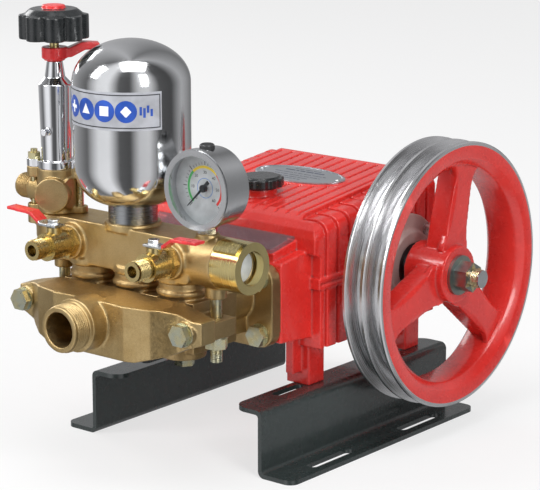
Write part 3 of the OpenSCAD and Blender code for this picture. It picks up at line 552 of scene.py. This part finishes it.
def chamber_sticker(name, outline, middle_z, facing, mat, lift_mm):
    """A thin sticker on the chamber. outline: convex (across, up) points in mm about its middle."""
    def reach(u):
        """Lowest and highest point of the outline at u."""
        ups = []
        for (u0, v0), (u1, v1) in zip(outline, outline[1:] + outline[:1]):
            if min(u0, u1) - 1e-6 <= u <= max(u0, u1) + 1e-6:
                ups += [v0, v1] if abs(u1 - u0) < 1e-6 else [v0 + (v1 - v0) * (u - u0) / (u1 - u0)]
        return min(ups), max(ups)

    left, right = min(u for u, v in outline), max(u for u, v in outline)
    steps = max(4, int((right - left) / 0.7))
    sections = []
    for k in range(steps + 1):
        u = left + (right - left) * (0.5 - 0.5 * math.cos(math.pi * k / steps))
        low, high = (middle_z + edge * MM for edge in reach(u))
        sections.append(chamber_section(facing + u * MM / CHAMBER_R, low, high, lift_mm))
    return strip(name, sections, mat, "root")


def flat_shape(name, outline, place, thick_mm, mat, body):
    """A thin plate from an outline in mm; place maps (x, y, up) to the row frame."""
    n = len(outline)
    verts = [place @ Vector((x * MM, y * MM, z * MM)) for z in (0, thick_mm) for x, y in outline]
    faces = [tuple(range(n - 1, -1, -1)), tuple(range(n, 2 * n))]
    faces += [(i, (i + 1) % n, n + (i + 1) % n, n + i) for i in range(n)]
    return piece(name, verts, faces, mat, body, smooth=False)


def flat_ring(name, outer, inner, place, thick_mm, mat, body, closed=True):
    """A thin closed or open strip between two outlines with as many points."""
    n = len(outer)
    loop = n if closed else n - 1
    verts = [place @ Vector((x * MM, y * MM, z * MM)) for z in (0, thick_mm) for x, y in outer + inner]
    faces = []
    for i in range(loop):
        j = (i + 1) % n
        o, p, q, r = i, j, n + j, n + i
        faces += [(o, p, q, r), (2 * n + r, 2 * n + q, 2 * n + p, 2 * n + o),
                  (o, 2 * n + o, 2 * n + p, p), (r, q, 2 * n + q, 2 * n + r)]
    return piece(name, verts, faces, mat, body, smooth=False)


def circle(radius, count=48, squash=1.0):
    """Points of a circle, or of an oval when squash is below 1."""
    turns = [2 * math.pi * k / count for k in range(count)]
    return [(radius * math.cos(t), squash * radius * math.sin(t)) for t in turns]


def arc(radius, start, end, count=40):
    """Points clockwise from straight up, in degrees."""
    turns = [math.radians(start + (end - start) * k / (count - 1)) for k in range(count)]
    return [(radius * math.sin(t), radius * math.cos(t)) for t in turns]


# ---- Castings ----

# node, name of its casting, material, voxel in mm, rounds of relaxing
CASTINGS = (
    ("crankcase", "crankcase_casting", RED, 0.85, 2),
    ("rear_cover", "rear_cover_casting", RED_COVER, 1.2, 5),
    ("cylinder_block", "cylinder_block_casting", BLOCK_BRASS, 1.0, 8),
    ("suction_manifold", "suction_manifold_casting", CAST_BRASS, 0.9, 5),
    ("discharge_manifold", "discharge_manifold_casting", CAST_BRASS, 0.9, 6),
    ("regulator_body", "regulator_body_casting", CAST_BRASS, 0.7, 6),
    ("bearing_cover_right", "bearing_cover_right_casting", PINK_CAST, 0.9, 4),
    ("bearing_cover_left", "bearing_cover_left_casting", PINK_CAST, 0.9, 4),
    ("release_lever", "release_lever_dipped", VINYL, 0.6, 8),
    ("regulator_barrel", "regulator_barrel_chrome", CHROME, 0.45, 4),
    ("oil_filler_cap", "oil_filler_cap_moulding", BLACK, 0.55, 3),
)
# Full radius of a crosshead guide, the least radius taken as its wall, and the guide's ends along Y.
GUIDE_R, GUIDE_INNER_R = 20.2 * MM, 15 * MM
GUIDE_START_Y, GUIDE_END_Y = -60 * MM, 12 * MM


def open_guides(case):
    """Keeps the three crosshead guides at full size after relaxing; they run along Y."""
    for v in case.data.vertices:
        for axis in PLUNGERS:
            away = Vector((v.co.x - axis.x, v.co.z - axis.z))
            if GUIDE_START_Y < v.co.y < GUIDE_END_Y and GUIDE_INNER_R < away.length < GUIDE_R:
                away *= GUIDE_R / away.length
                v.co.x, v.co.z = axis.x + away.x, axis.z + away.y


def make_castings():
    for node, name, mat, voxel_mm, rounds in CASTINGS:
        ob = casting(node, name, mat, voxel_mm * FINE, rounds)
        if node == "crankcase":
            open_guides(ob)


def lever_stem_x(side, inset_mm):
    """X of a tap's stem, a little in from the inner end of its lever."""
    low, high = corner(f"tap_lever_{side}")
    return high.x - inset_mm * MM if side == "left" else low.x + inset_mm * MM


def make_tap_levers():
    """Red dipped blades with bare plated metal round the stem."""
    for side in ("left", "right"):
        stem_x = lever_stem_x(side, 7.6)
        lever = casting(f"tap_lever_{side}", f"tap_lever_{side}_dipped", VINYL, 0.5 * FINE, 4)
        second_finish(lever, WHITE_ZINC, lambda c, n: abs(c.x - stem_x) < 12.5 * MM)


def make_knob():
    """Black grip with a red insert on top."""
    top = corner("pressure_knob")[1].z
    knob = casting("pressure_knob", "pressure_knob_moulding", BLACK, 0.65 * FINE, 16)
    second_finish(knob, CAP_RED, lambda c, n: c.z > top - 3.4 * MM
                  and (Vector(c).xy - KNOB.xy).length < 10.6 * MM)


# ---- Pulley: machined rim on a painted centre ----

# Half of a spoke's face in mm: distance from the axle and half the width there.
SPOKE_HALF = ((20, 20), (26, 19), (34, 15.5), (46, 12.5), (62, 10.8), (78, 11), (88, 13), (94, 16),
              (98.6, 21))
SPOKE_START, SPOKE_STEP = 12, 120  # degrees
RIM_DEPTH = 21.4 * MM


def spoke_faces():
    """Blocks that broaden the three spokes, as casting() takes them."""
    outline = [(w, r) for r, w in SPOKE_HALF] + [(-w, r) for r, w in reversed(SPOKE_HALF)]
    back = Matrix.Translation((PULLEY_LOW.x + 29 * MM, PULLEY.y, PULLEY.z))
    stand = Matrix.Rotation(math.radians(90), 4, "Z") @ Matrix.Rotation(math.radians(90), 4, "X")
    turns = [Matrix.Rotation(math.radians(-(SPOKE_START + SPOKE_STEP * k)), 4, "X") for k in range(3)]
    return [(outline, back @ turn @ stand, 6) for turn in turns]


def rim_profile(r, w):
    """(radius, along) points in mm of a rim of radius r and width w with two V grooves."""
    def groove(x):
        return [(r, x - 8.3), (r - 0.4, x - 7.9), (r - 13, x - 4.4), (r - 13, x + 4.4), (r - 0.4, x + 7.9),
                (r, x + 8.3)]

    points = [(r - 14.5, 0), (r - 3.6, 0), (r - 3.4, 0), (r - 1.2, 0), (r, 1.0)]
    points += groove(11.5) + groove(30.5)
    points += [(r, w - 1.0), (r - 1.2, w), (r - 3.4, w), (r - 3.6, w), (r - 14.5, w), (r - 15.2, w - 0.4)]
    points += [(r - 20.8, w - 5.5), (r - 21.8, w - 7), (r - 21.8, 7), (r - 20.8, 5.5), (r - 15.2, 0.4)]
    return points


def make_pulley():
    """The painted centre stops inside the rim, whose grooves and outer lands are bare metal."""
    centre = casting("drive_pulley", "pulley_centre", RED, 1.0 * FINE, 6, blocks=spoke_faces())
    trim(centre, lambda c: (c.yz - PULLEY.yz).length < PULLEY_R - RIM_DEPTH)
    width = 42
    back = Vector((PULLEY_LOW.x + 2 * MM, PULLEY.y, PULLEY.z))
    rim = lathe("pulley_rim", rim_profile(PULLEY_R / MM, width), back, (1, 0, 0), RIM_STEEL, "crank", 192)
    ends = (back.x + 0.3 * MM, back.x + (width - 0.3) * MM)
    second_finish(rim, RED, lambda c, n: (c.yz - PULLEY.yz).length < PULLEY_R - 14.7 * MM
                  or (not ends[0] < c.x < ends[1] and (c.yz - PULLEY.yz).length < PULLEY_R - 3.4 * MM))


# ---- Air chamber and its label ----

def make_chamber():
    """Pressure vessel with a domed top and a rounded lower end."""
    top, bottom = CHAMBER_HIGH.z / MM, CHAMBER_LOW.z / MM
    r = CHAMBER_R / MM
    dome, foot, neck = 36, 34, 17
    points = [(0, top)]
    for degrees in range(4, 91, 4):
        t = math.radians(degrees)
        points.append((r * math.sin(t), top - dome + dome * math.cos(t)))
    points += [(r, top - dome - 3), (r, bottom + foot + 3)]
    for degrees in range(0, 82, 6):
        t = math.radians(degrees)
        points.append((neck + (r - neck) * math.cos(t), bottom + foot - foot * math.sin(t)))
    points += [(19, bottom + 0.3), (0, bottom + 0.3)]
    shell = lathe("air_chamber_shell", points, (CHAMBER.x, CHAMBER.y, 0), (0, 0, 1), STAINLESS, "root", 192,
                  closed=False)
    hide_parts("air_chamber")


# One entry per disc: convex outlines in mm about the disc's middle.
SYMBOLS = [
    [[(-4, -4), (4, -4), (4, -1.5), (-4, -1.5)], [(-4, 1.5), (4, 1.5), (4, 4), (-4, 4)]],
    [[(-1.4, -5), (1.4, -5), (1.4, 5), (-1.4, 5)], [(-5, -1.4), (-1.4, -1.4), (-1.4, 1.4), (-5, 1.4)],
     [(1.4, -1.4), (5, -1.4), (5, 1.4), (1.4, 1.4)]],
    [[(-4.5, -3.5), (4.5, -3.5), (0, 5)]],
    [[(-4, -4), (4, -4), (4, 4), (-4, 4)]],
    [[(0, -5), (4.6, 0), (0, 5), (-4.6, 0)]],
]


LABEL_MIDDLE_Z = 323 * MM
LABEL_BARS = ((12, -3, 4), (15.5, -5, 3), (19, -1, 5), (22.5, -4, 2))  # turn in degrees, low and high in mm


def make_label():
    """Plain band with abstract marks; angles run from where the camera looks."""
    def band(name, low_mm, high_mm, start, end, mat, lift_mm):
        low, high = LABEL_MIDDLE_Z + low_mm * MM, LABEL_MIDDLE_Z + high_mm * MM
        chamber_band(name, low, high, start, end, mat, lift_mm)

    facing = math.radians(CAMERA_AZIMUTH - 90)
    start, end = facing - math.radians(105), facing + math.radians(33)
    inset, half_line, half_bar = math.radians(2), math.radians(0.45), math.radians(1.2)
    band("label_band", -16, 16, start, end, LABEL_GREY, 0.12)
    band("label_line_top", 13.2, 14.0, start + inset, end - inset, DIAL_BLACK, 0.22)
    band("label_line_bottom", -14.0, -13.2, start + inset, end - inset, DIAL_BLACK, 0.22)
    for name, t in (("label_line_left", start + inset), ("label_line_right", end - inset)):
        band(name, -14, 14, t - half_line, t + half_line, DIAL_BLACK, 0.21)
    for k, (turn, low, high) in enumerate(LABEL_BARS):
        t = facing + math.radians(turn)
        band(f"label_bar_{k}", low, high, t - half_bar, t + half_bar, LABEL_BLUE, 0.24)
    for k, shapes in enumerate(SYMBOLS):
        t = facing + math.radians(-88 + 21.5 * k)
        chamber_sticker(f"label_disc_{k}", circle(9.2, 40), LABEL_MIDDLE_Z, t, LABEL_BLUE, 0.24)
        for m, shape in enumerate(shapes):
            chamber_sticker(f"label_mark_{k}_{m}", shape, LABEL_MIDDLE_Z, t, LABEL_WHITE, 0.3)


# ---- Gauge dial ----

def make_dial():
    """Scale on the front of the dial: x across, y up, z towards the viewer."""
    place = Matrix.Translation((DIAL.x, DIAL_FRONT, DIAL.z)) @ Matrix.Rotation(math.radians(90), 4, "X")
    r = DIAL_R / MM
    for name, start, end, mat in (("green", -135, -45, DIAL_GREEN), ("yellow", -45, 45, DIAL_YELLOW),
                                  ("red", 45, 135, DIAL_RED)):
        outer, inner = arc(r * 0.60, start, end), arc(r * 0.53, start, end)
        flat_ring(f"dial_{name}", outer, inner, place, 0.06, mat, "root", closed=False)
    for k in range(31):
        long = k % 5 == 0
        t = math.radians(-135 + 9 * k)
        out = Vector((math.sin(t), math.cos(t)))
        side = Vector((out.y, -out.x)) * (0.32 if long else 0.16)
        a, b = out * r * 0.62, out * r * (0.75 if long else 0.69)
        corners = [tuple(a - side), tuple(a + side), tuple(b + side), tuple(b - side)]
        flat_shape(f"dial_tick_{k}", corners, place, 0.07, DIAL_BLACK, "root")
    for k in range(7):
        t = math.radians(-135 + 45 * k)
        data = bpy.data.curves.new(f"dial_number_{k}", "FONT")
        data.body = str(10 * k)
        data.size = 3.8 * MM
        data.align_x, data.align_y = "CENTER", "CENTER"
        data.extrude = 0.03 * MM
        data.materials.append(DIAL_BLACK)
        ob = bpy.data.objects.new(f"dial_number_{k}", data)
        bpy.context.scene.collection.objects.link(ob)
        at = Vector((math.sin(t), math.cos(t), 0)) * DIAL_R * 0.42
        ob.matrix_world = place @ Matrix.Translation(at + Vector((0, 0, 0.06 * MM)))
        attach(ob, "root")
    outer, inner = circle(r * 0.27, 64), circle(r * 0.255, 64)
    flat_ring("dial_inner_ring", outer, inner, place, 0.06, DIAL_BLUE, "root")


# ---- Nameplate ----

# Height above the middle and width in mm of each row of bars on the nameplate.
PLATE_ROWS = ((13, 30), (8, 46), (1.5, 60), (-4, 52), (-9, 34), (-13.5, 20))


def make_nameplate():
    """Oval plate with a raised rim, two rivets and rows of plain bars."""
    low, high = corner("nameplate")
    slope = math.atan2(high.z - low.z - 0.8 * MM, high.y - low.y)
    place = Matrix.Translation(middle("nameplate")) @ Matrix.Rotation(slope, 4, "X")
    place = place @ Matrix.Translation((0, 0, 0.4 * MM))
    half_w = (high.x - low.x) / 2 / MM
    squash = 0.44
    outer, inner = circle(half_w - 1.2, 72, squash), circle(half_w - 2.6, 72, squash * 0.985)
    flat_ring("nameplate_rim", outer, inner, place, 0.5, PLATE, "root")
    for k, (y, width) in enumerate(PLATE_ROWS):
        tall = 1.9 if k == 1 else 0.8
        x = -width / 2
        part = 0
        while x < width / 2:
            step = 3.2 + 2.6 * ((k * 7 + part * 5) % 4)
            end = min(x + step, width / 2)
            if end - x > 1:
                flat_shape(f"nameplate_line_{k}_{part}", [(x, y), (end, y), (end, y + tall), (x, y + tall)],
                           place, 0.08, PLATE_INK, "root")
            x = end + 1.3
            part += 1
    rivet = [(0, 1.2), (1.0, 1.0), (1.7, 0.4), (1.9, 0)]
    up = place.to_3x3() @ Vector((0, 0, 1))
    for side, sign in (("left", -1), ("right", 1)):
        at = place @ Vector((sign * (half_w - 6) * MM, 0, 0.2 * MM))
        lathe(f"nameplate_rivet_{side}", rivet, at, up, WHITE_ZINC, "root", 24, closed=False)


# ---- Threads, sight glass and small trim ----

def make_threads():
    """Helical ridges over the plain spigots and stud ends."""
    at = (0, corner("suction_manifold")[0].y + 1.5 * MM, 146 * MM)
    thread("suction_thread", at, (0, 1, 0), 19.5, 15, 2.3, CAST_BRASS, "root", 0.9)
    for side in ("left", "right"):
        at = (lever_stem_x(side, 8), corner("tap_bodies")[0].y + 1 * MM, 199 * MM)
        thread(f"tap_thread_{side}", at, (0, 1, 0), 8.3, 13.5, 1.9, TAP_BRASS, "root", 0.8)
    at = (corner("regulator_body")[0].x + 1 * MM, middle("spring_seat").y, 236 * MM)
    thread("overflow_thread", at, (1, 0, 0), 10.5, 15, 2.0, CAST_BRASS, "root", 0.8)
    at = (corner("crankshaft")[1].x - 9.5 * MM, CRANK.y, CRANK.z)
    thread("shaft_thread", at, (1, 0, 0), 8, 9, 1.6, YELLOW_ZINC, "crank", 0.5)
    low, high = corner("manifold_studs")
    for side, x in (("left", low.x + 10 * MM), ("right", high.x - 10 * MM)):
        at = (x, middle("manifold_studs").y, low.z + 0.5 * MM)
        thread(f"stud_thread_{side}", at, (0, 0, 1), 5, 11, 1.5, ZINC, "root", 0.4)


def make_sight_glass():
    """White disc behind the lens."""
    lens = middle("sight_glass_lens")
    centre = Vector((corner("sight_glass_lens")[0].x, lens.y, lens.z))
    profile = [(0, 0.4), (12.5, 0.4), (14, 0.1), (14.3, -0.6), (14.3, -2), (0, -2)]
    lathe("sight_glass_float", profile, centre, (1, 0, 0), FLOAT_WHITE, "root", 64, closed=False)


def make_gauge_plug():
    """Rubber plug in the top of the gauge's case."""
    at = (DIAL.x, middle("gauge_case").y - 1 * MM, corner("gauge_case")[1].z - 4 * MM)
    profile = [(0, 5.2), (4.6, 5.0), (5.8, 4.2), (6.4, 3), (6.4, 0), (0, 0)]
    lathe("gauge_plug", profile, at, (0, 0, 1), RUBBER, "root", 48, closed=False)


# ---- Camera, light and floor ----

def add_camera():
    a, e = math.radians(CAMERA_AZIMUTH), math.radians(CAMERA_ELEVATION)
    back = Vector((math.sin(a) * math.cos(e), -math.cos(a) * math.cos(e), math.sin(e)))
    data = bpy.data.cameras.new("camera")
    data.sensor_width = 36.0
    data.lens = CAMERA_LENS_MM
    data.dof.use_dof = False
    ob = bpy.data.objects.new("camera", data)
    bpy.context.scene.collection.objects.link(ob)
    ob.location = CAMERA_TARGET + back * CAMERA_DISTANCE
    ob.rotation_euler = back.to_track_quat("Z", "Y").to_euler()
    bpy.context.scene.camera = ob


def softbox(name, place, target, size, power):
    """A soft area light at place, turned to target; size in metres, power in watts."""
    data = bpy.data.lights.new(name, "AREA")
    data.shape = "RECTANGLE"
    data.size, data.size_y = size
    data.energy = power
    ob = bpy.data.objects.new(name, data)
    bpy.context.scene.collection.objects.link(ob)
    ob.location = place
    ob.rotation_euler = (Vector(place) - Vector(target)).to_track_quat("Z", "Y").to_euler()


# Share of the way round the room and grey level there, as metals reflect it.
ROOM_BANDS = ((0.0, 0.30), (0.10, 0.12), (0.18, 0.75), (0.24, 0.80), (0.30, 0.10), (0.36, 0.07), (0.41, 0.55),
              (0.46, 0.60), (0.52, 0.08), (0.60, 0.06), (0.68, 0.40), (0.80, 0.16), (0.92, 0.45), (1.0, 0.30))


def add_world():
    """White behind the object; metals reflect a grey room with bright and dark upright bands."""
    world = bpy.data.worlds.new("studio")
    bpy.context.scene.world = world
    world.use_nodes = True
    tree = world.node_tree
    tree.nodes.clear()
    make, link = tree.nodes.new, tree.links.new
    place = make("ShaderNodeTexCoord")
    parts = make("ShaderNodeSeparateXYZ")
    turn = make("ShaderNodeMath")
    turn.operation = "ARCTAN2"
    part = make("ShaderNodeMapRange")
    part.inputs["From Min"].default_value = -math.pi
    part.inputs["From Max"].default_value = math.pi
    bands = make("ShaderNodeValToRGB")
    ramp = bands.color_ramp
    while len(ramp.elements) < len(ROOM_BANDS):
        ramp.elements.new(0.5)
    for element, (at, level) in zip(ramp.elements, ROOM_BANDS):
        element.position = at
        element.color = (level, level, level * 1.02, 1)
    around = make("ShaderNodeBackground")
    around.inputs["Strength"].default_value = 1.3
    behind = make("ShaderNodeBackground")
    behind.inputs["Color"].default_value = (1.0, 1.0, 1.0, 1)
    behind.inputs["Strength"].default_value = 1.0
    ray = make("ShaderNodeLightPath")
    both = make("ShaderNodeMixShader")
    out = make("ShaderNodeOutputWorld")
    link(place.outputs["Generated"], parts.inputs[0])
    link(parts.outputs["Y"], turn.inputs[0])
    link(parts.outputs["X"], turn.inputs[1])
    link(turn.outputs[0], part.inputs["Value"])
    link(part.outputs["Result"], bands.inputs["Fac"])
    link(bands.outputs["Color"], around.inputs["Color"])
    link(ray.outputs["Is Camera Ray"], both.inputs[0])
    link(around.outputs[0], both.inputs[1])
    link(behind.outputs[0], both.inputs[2])
    link(both.outputs[0], out.inputs["Surface"])


def add_floor():
    """Pale floor: the camera sees it near white, reflections see the banded room instead."""
    mat = bpy.data.materials.new("studio_floor")
    mat.use_nodes = True
    tree = mat.node_tree
    tree.nodes.clear()
    make, link = tree.nodes.new, tree.links.new
    matt = make("ShaderNodeBsdfDiffuse")
    matt.inputs["Color"].default_value = (0.80, 0.80, 0.80, 1)
    glow = make("ShaderNodeEmission")
    glow.inputs["Color"].default_value = (1.0, 1.0, 1.0, 1)
    seen = make("ShaderNodeMixShader")
    seen.inputs[0].default_value = 0.70
    quiet = make("ShaderNodeBsdfTransparent")
    ray = make("ShaderNodeLightPath")
    first = make("ShaderNodeMixShader")
    last = make("ShaderNodeMixShader")
    out = make("ShaderNodeOutputMaterial")
    link(matt.outputs[0], seen.inputs[1])
    link(glow.outputs[0], seen.inputs[2])
    link(ray.outputs["Is Glossy Ray"], first.inputs[0])
    link(matt.outputs[0], first.inputs[1])
    link(quiet.outputs[0], first.inputs[2])
    link(ray.outputs["Is Camera Ray"], last.inputs[0])
    link(first.outputs[0], last.inputs[1])
    link(seen.outputs[0], last.inputs[2])
    link(last.outputs[0], out.inputs["Surface"])
    reach = 9.0
    corners = [(-reach, -reach, 0), (reach, -reach, 0), (reach, reach, 0), (-reach, reach, 0)]
    mesh = bpy.data.meshes.new("studio_floor")
    mesh.from_pydata(corners, [], [(0, 1, 2, 3)])
    ob = bpy.data.objects.new("studio_floor", mesh)
    bpy.context.scene.collection.objects.link(ob)
    dress(ob, mat)


# ---- Build ----

make_castings()
make_tap_levers()
make_knob()
make_pulley()
make_chamber()

second_finish(NODES["pulley_nut"], WASHER_ZINC, lambda c, n: (c.yz - PULLEY.yz).length > 10.5 * MM)
for name in ("hex_bolts_m10", "cover_bolts", "manifold_studs", "regulator_studs", "pulley_nut", "drain_plug"):
    soften(NODES[name], 0.7)
for name in ("left_rail", "right_rail", "gauge_bezel", "gauge_case", "sight_glass_nut", "tap_bodies",
             "chamber_collar", "plunger_window", "oil_level_glass", "nameplate"):
    soften(NODES[name], 0.5)

make_label()
make_dial()
make_nameplate()
make_threads()
make_sight_glass()
make_gauge_plug()
add_camera()
add_world()
add_floor()
softbox("key", (-1.5, -1.9, 2.1), (0, 0, 0.2), (0.7, 1.6), 34)
softbox("side", (2.4, -1.1, 1.6), (0, 0, 0.2), (0.6, 2.0), 30)
softbox("top", (0.6, -0.6, 2.7), (0, 0, 0), (1.6, 1.2), 36)
softbox("rear", (-2.4, 0.5, 1.2), (0, 0, 0.2), (0.8, 1.4), 14)
bpy.context.scene.view_settings.view_transform = "Standard"
